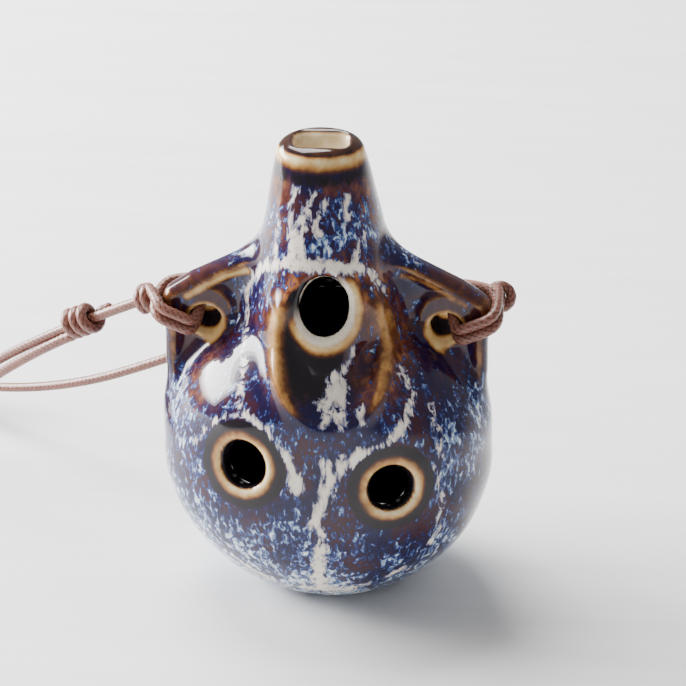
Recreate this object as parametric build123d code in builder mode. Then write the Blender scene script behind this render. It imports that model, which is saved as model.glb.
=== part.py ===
"""A six-hole pendant ocarina: a pear of fired clay with two lugs, and its knotted neck cord.

Units are millimetres. +Z is up along the mouthpiece, -Y is the thumb side and +X is to its right.
The origin is on the flat foot, below the middle of the chamber.
"""

import os
from math import cos, pi, radians, sin, sqrt, tan

from build123d import *

# ---- Driving dimensions ----------------------------------------------------------------------
HEIGHT = 65.0  # foot to mouth end
BELLY_HALF_WIDTH = 22.8
BELLY_HALF_DEPTH = 19.4
BELLY_HALF_HEIGHT = 21.7
BELLY_CENTRE_Z = 19.0
LOWER_POWER = 1.85  # below 2, the underside is fuller than an ellipse towards the foot
UPPER_POWER = 2.0
NECK_HALF_WIDTH = 5.4  # at the mouth end, before the lip is rounded
NECK_WIDENING = 0.19  # growth in half width for each mm downwards
NECK_HALF_DEPTH = 5.4
NECK_DEEPENING = 0.254
NECK_FADES_OVER = 6.0  # the neck's cone fades out over this height above the belly's centre
BLEND_POWER = 4.0  # how the belly and the neck's cone run together
LEAN_AT_FOOT = 0.45  # the hand-shaped pear leans a little to -X
LEAN_PER_MM = -0.012
LIP_RADIUS = 1.3
LIP_FOOT = HEIGHT - LIP_RADIUS
WALL = 3.4
LUTING_Z = 49.5  # where the neck is luted onto the two half shells

THUMB_HOLES = [(-9.9, 25.4, 3.05), (10.1, 22.9, 2.9)]  # x, z and radius
FINGER_HOLES = [(-8.6, 31.5, 2.5), (8.4, 31.8, 2.7), (-9.8, 17.6, 3.0), (9.6, 17.2, 2.3)]
RIM_ROUNDING = 1.0
TONE_HOLE_DEPTH = 9.0  # from the surface, into the chamber
WINDOW_CENTRE = (0.5, -9.0, 45.6)
WINDOW_RADIUS = 3.3
WINDOW_TILT = 28.0  # degrees that the window's axis rises towards -Y
WINDOW_DEPTH = 5.0  # inwards from its centre
WINDOW_LEAD = 3.0  # outwards from its centre, past the face of the clay

LUG_THICKNESS = 4.2
LUG_MIDDLE_Y = -0.5
LUG_HOLE = (16.2, 40.0)
LUG_HOLE_RADIUS = 2.2
LUG_CORNER_RADIUS = 2.0

CORD = 1.5  # diameter of the waxed cotton cord
KNOT_RADIUS = 2.4
KNOT_LENGTH = 6.6
KNOT_BORE = CORD / 2 + 0.05
LEFT_KNOT_AT = 12.9  # from the left hitch along the cord
RIGHT_KNOT_FROM_END = 9.9  # back from the right cord's end in the coil
KNOT_GAP = 0.3
COIL_CENTRE = (-79.4, 39.0)
COIL_INNER = 5.25
COIL_OUTER = 12.0
COIL_HEIGHT = 3.2
TIE = 0.6  # thickness of the thread that ties the coil
TIE_SPAN = 16.0  # degrees of the coil under the tie
HITCH_TILT = 12.0  # degrees that the turns round a lug rise outwards
HITCH_SLACK = 0.3  # room that the turns leave over the lug's thickness
SLEEVE_RADIUS = 1.6
LEFT_SLEEVE_LENGTH = 1.2
RIGHT_SLEEVE_LENGTH = 2.2

# Routes of the cord, from each lug. All end inside the coil.
LEFT_ROUTE = [
    (-24.6, 1.5, 40.4),
    (-48.8, 12.0, 26.2),
    (-65.0, 26.0, 5.5),
    (-81.5, 29.5, 2.7),
]
RETURN_ROUTE = [
    (-48.0, 11.0, 24.0),
    (-65.0, 24.5, 4.4),
    (-81.9, 27.9, 2.7),
]
RIGHT_ROUTE = [
    (23.3, 4.6, 41.0),
    (21.5, 16.0, 37.5),
    (9.0, 23.8, 33.5),
    (-7.0, 24.4, 28.6),
    (-22.0, 20.5, 22.5),
    (-46.0, 32.0, 8.5),
    (-71.9, 46.0, 2.9),
]
RETURN_OFFSET = (0.51, -0.66, -1.37)  # from the left cord to the one beside it, at the knot


# ---- The pear's outline ----------------------------------------------------------------------
def belly_share(z, half_height):
    """How much of its full width the round belly has at height z."""
    power = LOWER_POWER if z < BELLY_CENTRE_Z else UPPER_POWER
    rise = abs(z - BELLY_CENTRE_Z) / half_height
    return max(0.0, 1 - rise**power) ** (1 / power)


def run_together(belly, neck):
    return (belly**BLEND_POWER + neck**BLEND_POWER) ** (1 / BLEND_POWER)


def outline(z, inset=0.0):
    """Half width and half depth of the pear at height z, or of the hollow inset from it."""
    share = belly_share(z, BELLY_HALF_HEIGHT - inset)
    fade = min(1.0, max(0.0, (z - BELLY_CENTRE_Z) / NECK_FADES_OVER))
    neck_width = (NECK_HALF_WIDTH + NECK_WIDENING * (HEIGHT + 1 - z) - inset) * fade
    neck_depth = (NECK_HALF_DEPTH + NECK_DEEPENING * (HEIGHT + 1 - z) - inset) * fade
    width = run_together((BELLY_HALF_WIDTH - inset) * share, neck_width)
    depth = run_together((BELLY_HALF_DEPTH - inset) * share, neck_depth)
    into_lip = max(0.0, z - LIP_FOOT)
    lip = LIP_RADIUS - sqrt(LIP_RADIUS**2 - into_lip**2)
    return width - lip, depth - lip


def lean(z):
    return LEAN_AT_FOOT + LEAN_PER_MM * z


def surface_plane(x, z, side):
    """A plane on the belly's surface, facing outwards. side is -1 at the thumbs, 1 at the fingers."""
    width, depth = outline(z)
    from_middle = x - lean(z)
    y = side * depth * sqrt(1 - (from_middle / width) ** 2)
    rise = (z - BELLY_CENTRE_Z) / BELLY_HALF_HEIGHT**2
    outwards = Vector(from_middle / width**2, y / depth**2, rise)
    return Plane(origin=(x, y, z), z_dir=outwards)


# ---- Solids that several pieces are cut from --------------------------------------------------
BELLY_STATIONS = [0, 1, 2.5, 5, 8, 12, 16, 19, 22, 26, 30, 34, 38, 42, 46, LUTING_Z]
with BuildPart() as pear_body:
    for height in BELLY_STATIONS:
        with BuildSketch(Plane.XY.offset(height)):
            with Locations((lean(height), 0)):
                Ellipse(*outline(height))
    loft()

CHAMBER_FLOOR = WALL
CHAMBER_DOME = 41.0  # the hollow closes over from here
CHAMBER_TOP = 47.5
with BuildPart() as chamber:
    for height in [CHAMBER_FLOOR, 5, 8, 12, 16, 19, 22, 26, 30, 34, 38, 41, 44, 46, 47.2]:
        closing = max(0.0, height - CHAMBER_DOME) / (CHAMBER_TOP - CHAMBER_DOME)
        hollow = outline(height, WALL)
        with BuildSketch(Plane.XY.offset(height)):
            with Locations((lean(height), 0)):
                Ellipse(hollow[0] * sqrt(1 - closing**2), hollow[1] * sqrt(1 - closing**2))
    loft()

# The windway narrows from the mouth and slopes forward to the window's upper edge.
# Each row is the height, the middle's y, the half width and the half thickness.
WINDWAY = [
    (65.2, 0.0, 4.2, 2.4),
    (61.5, -1.6, 3.8, 1.1),
    (56.0, -4.2, 3.6, 0.9),
    (47.0, -8.3, 3.4, 0.8),
]
WINDWAY_CORNER = 0.7
with BuildPart() as windway:
    for height, middle_y, half_width, half_thickness in WINDWAY:
        with BuildSketch(Plane.XY.offset(height)):
            with Locations((lean(height), middle_y)):
                RectangleRounded(2 * half_width, 2 * half_thickness, WINDWAY_CORNER)
    loft(ruled=True)

# A spoon-shaped ramp is pressed into the clay around the window. Its rim forms the two ridges.
SCOOP_CENTRE = (1.6, -18.3, 44.0)
SCOOP_RADIUS = 10.2
SCOOP_HALF_LENGTH = 16.5
SCOOP_TILT = 24.0
scoop_plane = Plane(
    origin=SCOOP_CENTRE,
    x_dir=(1, 0, 0),
    z_dir=(0, -cos(radians(SCOOP_TILT)), sin(radians(SCOOP_TILT))),
)
with BuildPart() as scoop:
    with BuildSketch(scoop_plane):
        Ellipse(SCOOP_RADIUS, SCOOP_HALF_LENGTH)
        with Locations((-SCOOP_RADIUS, 0)):
            Rectangle(2 * SCOOP_RADIUS, 3 * SCOOP_HALF_LENGTH, mode=Mode.SUBTRACT)
    revolve(axis=Axis(SCOOP_CENTRE, scoop_plane.y_dir))

window_plane = Plane(
    origin=WINDOW_CENTRE,
    z_dir=(0, -cos(radians(WINDOW_TILT)), sin(radians(WINDOW_TILT))),
)


# ---- Half shells of the chamber ---------------------------------------------------------------
with BuildPart() as thumb_side_shell:
    add(pear_body.part)
    split(bisect_by=Plane.XZ, keep=Keep.TOP)
    add(chamber.part, mode=Mode.SUBTRACT)
    add(windway.part, mode=Mode.SUBTRACT)
    add(scoop.part, mode=Mode.SUBTRACT)
    with Locations(window_plane.offset(WINDOW_LEAD)):
        Hole(WINDOW_RADIUS, depth=WINDOW_LEAD + WINDOW_DEPTH)
    for x, z, radius in THUMB_HOLES:
        with Locations(surface_plane(x, z, -1)):
            CounterSinkHole(radius, radius + RIM_ROUNDING, depth=TONE_HOLE_DEPTH)

with BuildPart() as finger_side_shell:
    add(pear_body.part)
    split(bisect_by=Plane.XZ, keep=Keep.BOTTOM)
    add(chamber.part, mode=Mode.SUBTRACT)
    for x, z, radius in FINGER_HOLES:
        with Locations(surface_plane(x, z, 1)):
            CounterSinkHole(radius, radius + RIM_ROUNDING, depth=TONE_HOLE_DEPTH)


# ---- Neck with the windway through it ---------------------------------------------------------
with BuildPart() as mouthpiece:
    for height in [LUTING_Z, 53, 57, 61, LIP_FOOT]:
        with BuildSketch(Plane.XY.offset(height)):
            with Locations((lean(height), 0)):
                Ellipse(*outline(height))
    loft()
    for height in [LIP_FOOT, LIP_FOOT + 0.6, LIP_FOOT + 1.05, HEIGHT]:
        with BuildSketch(Plane.XY.offset(height)):
            with Locations((lean(height), 0)):
                Ellipse(*outline(height))
    loft(ruled=True)
    add(windway.part, mode=Mode.SUBTRACT)
    add(scoop.part, mode=Mode.SUBTRACT)


# ---- Lugs for the cord ------------------------------------------------------------------------
def make_lug(side):
    """A flat ear luted across the seam of the half shells. side is -1 or 1."""
    corners = [
        (side * 6.0, 49.2),
        (side * 10.5, 48.6),
        (side * 18.5, 45.8),
        (side * 22.3, 42.8),
        (side * 22.0, 36.0),
        (side * 20.9, 28.5),
        (side * 6.0, 28.5),
    ]
    with BuildPart() as ear:
        with BuildSketch(Plane.XZ.offset(-LUG_MIDDLE_Y)) as face:
            with BuildLine():
                Polyline(*corners, close=True)
            make_face()
            outer = [vertex for vertex in face.vertices() if abs(vertex.X) > 18 and vertex.Y > 30]
            fillet(outer, LUG_CORNER_RADIUS)
        extrude(amount=LUG_THICKNESS / 2, both=True)
        with BuildSketch(Plane.XZ.offset(-LUG_MIDDLE_Y)):
            with Locations((side * LUG_HOLE[0], LUG_HOLE[1])):
                Circle(LUG_HOLE_RADIUS)
        extrude(amount=LUG_THICKNESS, both=True, mode=Mode.SUBTRACT)
        add(pear_body.part, mode=Mode.SUBTRACT)
    return ear.part


left_lug = make_lug(-1)
right_lug = make_lug(1)


# ---- Cord -------------------------------------------------------------------------------------
def direction(start, end):
    return (Vector(*end) - Vector(*start)).normalized()


def make_tube(route, label, trimmed_by=None):
    """A stretch of cord: straight runs, joined by tangent arcs as large as the runs allow."""
    points = [Vector(*point) for point in route]
    radii = []
    for before, corner, after in zip(points, points[1:], points[2:]):
        first_run = corner - before
        second_run = after - corner
        half_turn = radians(first_run.get_angle(second_run) / 2)
        radii.append(0.45 * min(first_run.length, second_run.length) / tan(half_turn))
    print(label, "arc radii, mm:", [round(radius, 1) for radius in radii])
    with BuildPart() as tube:
        with BuildLine() as path:
            FilletPolyline(*points, radius=radii)
        with BuildSketch(Plane(origin=points[0], z_dir=points[1] - points[0])):
            Circle(CORD / 2)
        sweep(path=path.wire())
        volume = tube.part.volume
        length = path.wire().length
        print(label, "length, mm:", round(length, 1), "volume / (section x length):", end=" ")
        print(round(volume / (pi * (CORD / 2) ** 2 * length), 4))
        if trimmed_by is not None:
            add(trimmed_by, mode=Mode.SUBTRACT)
    return tube.part


def make_hitch(side, start, towards):
    """Two turns round a lug through its hole, and the sleeve that the cord leaves by."""
    inner_edge = 1.3  # from the hole's middle, outwards
    outer_edge = 6.65
    tilt = radians(HITCH_TILT)
    outwards = Vector(side * cos(tilt), 0, sin(tilt))
    turns_plane = Plane(
        origin=(side * LUG_HOLE[0], LUG_MIDDLE_Y, LUG_HOLE[1]),
        x_dir=outwards,
        z_dir=outwards.cross(Vector(0, 1, 0)),
    )
    depth = LUG_THICKNESS + HITCH_SLACK
    way = direction(start, towards)
    with BuildPart() as hitch:
        with BuildSketch(turns_plane):
            with Locations(((inner_edge + outer_edge) / 2, 0)):
                RectangleRounded(outer_edge - inner_edge + 2 * CORD, depth + 2 * CORD, 2.0)
                RectangleRounded(outer_edge - inner_edge, depth, 0.5, mode=Mode.SUBTRACT)
        extrude(amount=0.97 * CORD, both=True)
        sleeve_length = LEFT_SLEEVE_LENGTH if side < 0 else RIGHT_SLEEVE_LENGTH
        with BuildSketch(Plane(origin=Vector(*start) - way * sleeve_length, z_dir=way)):
            Circle(SLEEVE_RADIUS)
        extrude(amount=sleeve_length)
    return hitch.part


def make_slide_knot(middle, along):
    """A barrel knot of four wraps, which slides along the cord through its bore."""
    wraps = 4
    wrap_radius = (KNOT_RADIUS - KNOT_BORE) / 2 - 0.02
    core_radius = 1.7
    spacing = (KNOT_LENGTH - 2 * wrap_radius) / (wraps - 1)
    across = Vector(0, 0, 1).cross(along).normalized()
    with BuildPart() as knot:
        with BuildSketch(Plane(origin=middle, x_dir=along, z_dir=along.cross(across))):
            with Locations((0, core_radius / 2)):
                Rectangle(KNOT_LENGTH - 2 * wrap_radius, core_radius)
            with Locations((0, KNOT_RADIUS - wrap_radius)):
                with GridLocations(spacing, 0, wraps, 1):
                    Circle(wrap_radius)
        revolve(axis=Axis(middle, along))
        with BuildSketch(Plane(origin=middle, z_dir=along)):
            Circle(KNOT_BORE)
        extrude(amount=KNOT_LENGTH, both=True, mode=Mode.SUBTRACT)
    return knot.part


left_way = direction(LEFT_ROUTE[0], LEFT_ROUTE[1])
left_knot_middle = Vector(*LEFT_ROUTE[0]) + left_way * LEFT_KNOT_AT
return_start = left_knot_middle + left_way * (KNOT_LENGTH / 2 + KNOT_GAP) + Vector(*RETURN_OFFSET)
right_way = direction(RIGHT_ROUTE[-2], RIGHT_ROUTE[-1])
right_knot_middle = Vector(*RIGHT_ROUTE[-1]) - right_way * RIGHT_KNOT_FROM_END

with BuildPart() as cord_coil:
    with BuildSketch(Plane.XZ.offset(-COIL_CENTRE[1])):
        with Locations((COIL_CENTRE[0] + (COIL_INNER + COIL_OUTER) / 2, TIE + COIL_HEIGHT / 2)):
            RectangleRounded(COIL_OUTER - COIL_INNER, COIL_HEIGHT, CORD / 2)
    revolve(axis=Axis((*COIL_CENTRE, 0), (0, 0, 1)))

with BuildPart() as coil_tie:
    with BuildSketch(Plane.XZ.offset(-COIL_CENTRE[1])):
        with Locations((COIL_CENTRE[0] - (COIL_INNER + COIL_OUTER) / 2, TIE + COIL_HEIGHT / 2)):
            RectangleRounded(
                COIL_OUTER - COIL_INNER + 2 * TIE, COIL_HEIGHT + 2 * TIE, CORD / 2 + TIE
            )
            RectangleRounded(
                COIL_OUTER - COIL_INNER, COIL_HEIGHT, CORD / 2, mode=Mode.SUBTRACT
            )
    revolve(axis=Axis((*COIL_CENTRE, 0), (0, 0, 1)), revolution_arc=TIE_SPAN)

pieces = {
    "thumb_side_shell": thumb_side_shell.part,
    "finger_side_shell": finger_side_shell.part,
    "mouthpiece": mouthpiece.part,
    "left_lug": left_lug,
    "right_lug": right_lug,
    "left_ear_hitch": make_hitch(-1, LEFT_ROUTE[0], LEFT_ROUTE[1]),
    "right_ear_hitch": make_hitch(1, RIGHT_ROUTE[0], RIGHT_ROUTE[1]),
    "left_cord": make_tube(LEFT_ROUTE, "left_cord", cord_coil.part),
    "right_cord": make_tube(RIGHT_ROUTE, "right_cord", cord_coil.part),
    "right_cord_return": make_tube(
        [tuple(return_start), *RETURN_ROUTE], "right_cord_return", cord_coil.part
    ),
    "left_slide_knot": make_slide_knot(left_knot_middle, left_way),
    "right_slide_knot": make_slide_knot(right_knot_middle, right_way),
    "cord_coil": cord_coil.part,
    "coil_tie": coil_tie.part,
}

os.makedirs("parts", exist_ok=True)
for name, piece in pieces.items():
    piece.label = name
    export_step(piece, f"parts/{name}.step")

print("left knot slides along", [round(value, 4) for value in -left_way])
print("right knot slides along", [round(value, 4) for value in -right_way])
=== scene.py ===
"""A glazed six-hole pendant ocarina on its knotted cord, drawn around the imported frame."""

from math import cos, pi, radians, sin, tau

import bpy
import numpy as np
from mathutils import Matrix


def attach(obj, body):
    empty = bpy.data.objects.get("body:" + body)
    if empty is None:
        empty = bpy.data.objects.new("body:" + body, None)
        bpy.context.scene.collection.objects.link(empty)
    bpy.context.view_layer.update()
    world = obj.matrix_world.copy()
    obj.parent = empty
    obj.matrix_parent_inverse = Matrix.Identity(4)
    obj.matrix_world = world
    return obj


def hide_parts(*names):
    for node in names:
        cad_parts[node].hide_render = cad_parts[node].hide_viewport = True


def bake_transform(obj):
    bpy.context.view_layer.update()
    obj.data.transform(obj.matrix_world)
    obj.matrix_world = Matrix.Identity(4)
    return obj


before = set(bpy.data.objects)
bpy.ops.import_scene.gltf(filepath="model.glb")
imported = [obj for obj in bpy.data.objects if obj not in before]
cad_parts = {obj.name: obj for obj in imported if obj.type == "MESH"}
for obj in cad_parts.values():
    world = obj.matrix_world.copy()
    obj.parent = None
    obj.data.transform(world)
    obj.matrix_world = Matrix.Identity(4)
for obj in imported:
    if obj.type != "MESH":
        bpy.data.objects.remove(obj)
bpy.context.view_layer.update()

import openvdb
from mathutils import Vector

MM = 0.001

# ---- Camera, at the photograph's angle ----
VIEW_AZIMUTH = radians(4.6)
VIEW_ELEVATION = radians(27.0)
VIEW_DISTANCE = 0.300
VIEW_AIM = Vector((0.0, 0.0, 0.0353))
VIEW_RIGHT_OF_MIDDLE = 0.0022
LENS = 115.7  # mm
SENSOR_WIDTH = 36.0  # mm


def add_camera():
    to_right = Vector((cos(VIEW_AZIMUTH), sin(VIEW_AZIMUTH), 0))
    level = cos(VIEW_ELEVATION)
    backwards = Vector((sin(VIEW_AZIMUTH) * level, -cos(VIEW_AZIMUTH) * level, sin(VIEW_ELEVATION)))
    data = bpy.data.cameras.new("camera")
    data.lens = LENS
    data.sensor_width = SENSOR_WIDTH
    camera = bpy.data.objects.new("camera", data)
    bpy.context.scene.collection.objects.link(camera)
    camera.location = VIEW_AIM + VIEW_RIGHT_OF_MIDDLE * to_right + VIEW_DISTANCE * backwards
    camera.rotation_euler = backwards.to_track_quat("Z", "Y").to_euler()
    bpy.context.scene.camera = camera


add_camera()


# ---- Helpers ----
def grow(value, low, high):
    """A smooth step from 0 at low to 1 at high."""
    share = np.clip((value - low) / (high - low), 0.0, 1.0)
    return share * share * (3 - 2 * share)


def fade(value, low, high):
    """A smooth step from 1 at low to 0 at high."""
    return 1 - grow(value, low, high)


def bell(away, reach):
    return np.exp(-((away / reach) ** 2))


def new_object(name, data):
    made = bpy.data.objects.new(name, data)
    bpy.context.scene.collection.objects.link(made)
    return made


def mesh_object(name, vertices, faces, material):
    """Vertices in metres."""
    mesh = bpy.data.meshes.new(name)
    mesh.from_pydata(np.asarray(vertices).tolist(), [], faces)
    mesh.shade_smooth()
    mesh.materials.append(material)
    return new_object(name, mesh)


def float_attribute(mesh, name, values):
    layer = mesh.attributes.new(name, "FLOAT", "POINT")
    layer.data.foreach_set("value", np.asarray(values, dtype=np.float32))


# ---- Node helpers ----
class Shader:
    """Builds a material's nodes with short calls."""

    def __init__(self, name):
        self.material = bpy.data.materials.new(name)
        self.material.use_nodes = True
        self.nodes = self.material.node_tree.nodes
        self.links = self.material.node_tree.links
        self.principled = self.nodes["Principled BSDF"]

    def plug(self, value, socket):
        if isinstance(value, bpy.types.NodeSocket):
            self.links.new(value, socket)
        else:
            socket.default_value = value

    def add(self, kind, inputs=None, **settings):
        node = self.nodes.new(kind)
        for key, value in settings.items():
            setattr(node, key, value)
        for key, value in (inputs or {}).items():
            self.plug(value, node.inputs[key])
        return node

    def math(self, operation, first, second=0.0, third=0.0):
        node = self.add("ShaderNodeMath", operation=operation)
        for index, value in enumerate((first, second, third)):
            self.plug(value, node.inputs[index])
        return node.outputs[0]

    def attribute(self, name):
        return self.add("ShaderNodeAttribute", attribute_name=name).outputs["Fac"]

    def place(self, scale=(1, 1, 1)):
        where = self.add("ShaderNodeTexCoord").outputs["Object"]
        return self.add("ShaderNodeMapping", {"Vector": where, "Scale": scale}).outputs["Vector"]

    def noise(self, where, scale, detail=3.0, roughness=0.55, distortion=0.0):
        inputs = {"Vector": where, "Scale": scale, "Detail": detail}
        inputs |= {"Roughness": roughness, "Distortion": distortion}
        return self.add("ShaderNodeTexNoise", inputs).outputs["Fac"]

    def ramp(self, value, stops):
        node = self.add("ShaderNodeValToRGB", {"Fac": value})
        elements = node.color_ramp.elements
        while len(elements) < len(stops):
            elements.new(0.5)
        for element, (position, colour) in zip(elements, stops):
            element.position = position
            element.color = (*colour, 1.0)
        return node.outputs["Color"]

    def between(self, value, low, high):
        inputs = {"Value": value, "From Min": low, "From Max": high}
        node = self.add("ShaderNodeMapRange", inputs, interpolation_type="SMOOTHSTEP")
        return node.outputs["Result"]

    def mix(self, share, first, second):
        """The first colour where share is 0 and the second where it is 1."""
        node = self.add("ShaderNodeMix", data_type="RGBA")
        self.plug(share, node.inputs[0])
        for index, colour in ((6, first), (7, second)):  # the node's two sockets for colours
            is_socket = isinstance(colour, bpy.types.NodeSocket)
            self.plug(colour if is_socket else (*colour, 1), node.inputs[index])
        return node.outputs[2]

    def bump(self, height, strength, distance):
        inputs = {"Height": height, "Strength": strength, "Distance": distance}
        return self.add("ShaderNodeBump", inputs).outputs["Normal"]

    def finish(self, **inputs):
        for key, value in inputs.items():
            self.plug(value, self.principled.inputs[key.replace("_", " ")])
        return self.material


# ---- Cord ----
CORD = 1.5 * MM  # diameter
KNOT_LENGTH = 6.6 * MM
LEFT_KNOT_AT = 12.9 * MM  # from the start of the left route
RIGHT_KNOT_FROM_END = 9.9 * MM  # from the end of the right route
KNOT_GAP = 0.3 * MM  # from a knot's end to the start of the cord that is tied into it
STRAIGHT_IN = 2.6 * MM  # the straight part of the left cord before the right knot
HITCH_HOLE = (16.2 * MM, 40.0 * MM)  # x and z of a hitch's middle
LUG_THICKNESS = 4.2 * MM
LUG_MIDDLE_Y = -0.5 * MM
TIE = 0.6 * MM  # thickness of the tie's thread, which passes under the coil and lifts it

# The cord's routes, with the points of part.py
LEFT_ROUTE = [
    (-0.0246, 0.0015, 0.0404),
    (-0.0488, 0.0120, 0.0262),
    (-0.0650, 0.0260, 0.0055),
]
RETURN_ROUTE = [
    (-0.0480, 0.0110, 0.0240),
    (-0.0650, 0.0245, 0.0044),
]
RIGHT_ROUTE = [
    (0.0233, 0.0046, 0.0410),
    (0.0215, 0.0160, 0.0375),
    (0.0090, 0.0238, 0.0335),
    (-0.0070, 0.0244, 0.0286),
    (-0.0220, 0.0205, 0.0225),
    (-0.0460, 0.0320, 0.0085),
    (-0.0719, 0.0460, 0.0029),
]
RETURN_OFFSET = Vector((0.51, -0.66, -1.37)) * MM
COIL_CENTRE = (-0.0794, 0.0390)


CORD_COLOURS = [
    (0.45, (0.018, 0.005, 0.003)),
    (0.85, (0.052, 0.014, 0.009)),
    (1.25, (0.12, 0.038, 0.025)),
    (1.6, (0.23, 0.088, 0.06)),
]


def material_cord():
    """Reddish brown waxed cotton. The braid's own height is stored on the mesh, and the colour is darkened in
    its grooves as painted shade.
    """
    make = Shader("waxed_cotton_cord")
    where = make.place()
    fibres = make.noise(where, 2600.0, 3.0, 0.6)
    stains = make.noise(where, 160.0, 2.0, 0.5)
    braid_groove_shade = make.attribute("braid")
    # Painted shade: a lower braid height, in the grooves, gives a darker colour
    light = make.math("MULTIPLY_ADD", fibres, 0.5, braid_groove_shade)
    light = make.math("MULTIPLY_ADD", stains, 0.5, light)
    return make.finish(
        Base_Color=make.ramp(light, CORD_COLOURS),
        Roughness=0.36,
        Sheen_Weight=0.08,
        Sheen_Roughness=0.4,
        Sheen_Tint=(1.0, 0.78, 0.72, 1.0),
        Normal=make.bump(fibres, 0.35, 0.00008),
    )


CORD_MATERIAL = material_cord()


def centreline(points, steps_per_point=16):
    """Points along the smooth NURBS line that has the route's points as its control points."""
    data = bpy.data.curves.new("route", "CURVE")
    data.dimensions = "3D"
    spline = data.splines.new("NURBS")
    spline.points.add(len(points) - 1)
    for point, place in zip(spline.points, points):
        point.co = (*place, 1.0)
    spline.order_u = 3
    spline.use_endpoint_u = True
    spline.resolution_u = steps_per_point
    line = new_object("route", data)
    mesh = bpy.data.meshes.new_from_object(line)
    found = np.array([vertex.co for vertex in mesh.vertices])
    bpy.data.objects.remove(line)
    bpy.data.curves.remove(data)
    bpy.data.meshes.remove(mesh)
    return found


def travelled(line):
    steps = np.linalg.norm(np.diff(line, axis=0), axis=1)
    return np.concatenate([[0.0], np.cumsum(steps)])


def evenly(line, step):
    """The same line with its points a fixed step apart."""
    along = travelled(line)
    wanted = np.linspace(0.0, along[-1], max(2, int(round(along[-1] / step)) + 1))
    return np.stack([np.interp(wanted, along, line[:, axis]) for axis in range(3)], 1)


def unit(vectors):
    return vectors / np.linalg.norm(vectors, axis=-1, keepdims=True)


def side_frames(line):
    """Two directions across the line at each point, carried along it without twist."""
    ahead = unit(np.gradient(line, axis=0))
    across = np.empty_like(line)
    across[0] = unit(np.cross(ahead[0], (0.0, 0.0, 1.0)))
    for index in range(1, len(line)):
        carried = across[index - 1] - ahead[index] * (across[index - 1] @ ahead[index])
        across[index] = unit(carried)
    return across, np.cross(ahead, across)


RING = 24
BRAID_COUNT = 3  # pairs of strands that wind each way
BRAID_LAY = 2.7 * MM  # along the cord for one turn of a strand
BRAID_RELIEF = 0.09 * MM
BRAID_AT_ENDS = 0.2  # the braid's mask at the points that close a cord, which sets the painted groove shade there
RING_STEP = 0.16 * MM


def braided_tube(name, line, radius=CORD / 2, relief=BRAID_RELIEF, taper=None, step=RING_STEP):
    """A braided cord along a line. taper gives the share of the radius at places from 0 to 1 along it."""
    line = evenly(line, step)
    along = travelled(line)
    across, over = side_frames(line)
    angles = np.arange(RING) * tau / RING
    lay = tau * along[:, None] / (BRAID_LAY * radius / (CORD / 2))
    one_way = np.sin(BRAID_COUNT * (angles[None] + lay / 2))
    other_way = np.sin(BRAID_COUNT * (angles[None] - lay / 2))
    braid = np.sqrt(np.abs(one_way * other_way))
    size = radius - relief * (1 - braid)
    if taper is not None:
        size = size * taper(along / along[-1])[:, None]
    rings = (
        line[:, None]
        + across[:, None] * (np.cos(angles)[None] * size)[..., None]
        + over[:, None] * (np.sin(angles)[None] * size)[..., None]
    )
    count = len(line)
    vertices = np.concatenate([rings.reshape(-1, 3), line[:1], line[-1:]])
    here = np.arange(count - 1)[:, None] * RING + np.arange(RING)[None]
    beside = np.arange(count - 1)[:, None] * RING + (np.arange(RING)[None] + 1) % RING
    sides = np.stack([here, beside, beside + RING, here + RING], -1).reshape(-1, 4).tolist()
    first, last = count * RING, count * RING + 1
    turn = [(index, (index + 1) % RING) for index in range(RING)]
    ends = [(b, a, first) for a, b in turn]
    ends += [((count - 1) * RING + a, (count - 1) * RING + b, last) for a, b in turn]
    tube = mesh_object(name, vertices, sides + ends, CORD_MATERIAL)
    # The braid's height, which the cord's material also turns into painted shade in the grooves
    float_attribute(tube.data, "braid", np.concatenate([braid.reshape(-1), [BRAID_AT_ENDS] * 2]))
    return tube


# Coil of the put-away cord. Each turn is a level and the middle radius of the pair of cords, in mm.
COIL_TURNS = [(0, 10.5), (0, 7.5), (1, 7.5), (1, 10.5)]
COIL_POINTS = 20  # control points for each turn
COIL_IN = radians(62.0)  # where both cords meet the coil on the right knot's side
COIL_OUT = radians(257.0)  # where both leave it for the left lug
TIE_AT = radians(188.0)
LEVEL_HEIGHT = 1.47 * MM
HAND_OVER = 0.16  # share of a turn over which a cord moves to the next turn
FROM_PAIR = 0.75  # from the pair's middle to each cord, in mm
UNDER_TIE = radians(75)  # how far round from the tie the coil begins to lift
FLOOR_GAP = 0.02 * MM


def coil_point(angle, side):
    """A point of the inner cord (side -1) or the outer one (side 1). angle counts on over the turns."""
    turn = min(max(int((angle - COIL_IN) // tau), 0), len(COIL_TURNS) - 1)
    through = (angle - COIL_IN) / tau - turn
    level, radius = COIL_TURNS[turn]
    moving = float(grow(through, 1 - HAND_OVER, 1.0))
    if turn + 1 < len(COIL_TURNS):
        level += (COIL_TURNS[turn + 1][0] - level) * moving
        radius += (COIL_TURNS[turn + 1][1] - radius) * moving
    uneven = 1 + 0.012 * sin(2 * angle + 1.0) + 0.008 * sin(3 * angle)
    reach = (radius + side * FROM_PAIR) * uneven * MM
    off_tie = abs((angle - TIE_AT + pi) % tau - pi)
    lift = TIE * max(0.0, 1 - (off_tie / UNDER_TIE) ** 2)
    return (
        COIL_CENTRE[0] + reach * cos(angle),
        COIL_CENTRE[1] + reach * sin(angle),
        CORD / 2 + FLOOR_GAP + lift + level * LEVEL_HEIGHT,
    )


def coil_points(first, last, side):
    count = max(4, round((last - first) / tau * COIL_POINTS))
    return [coil_point(first + (last - first) * index / count, side) for index in range(count + 1)]


def way_between(start, end):
    return (Vector(end) - Vector(start)).normalized()


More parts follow.
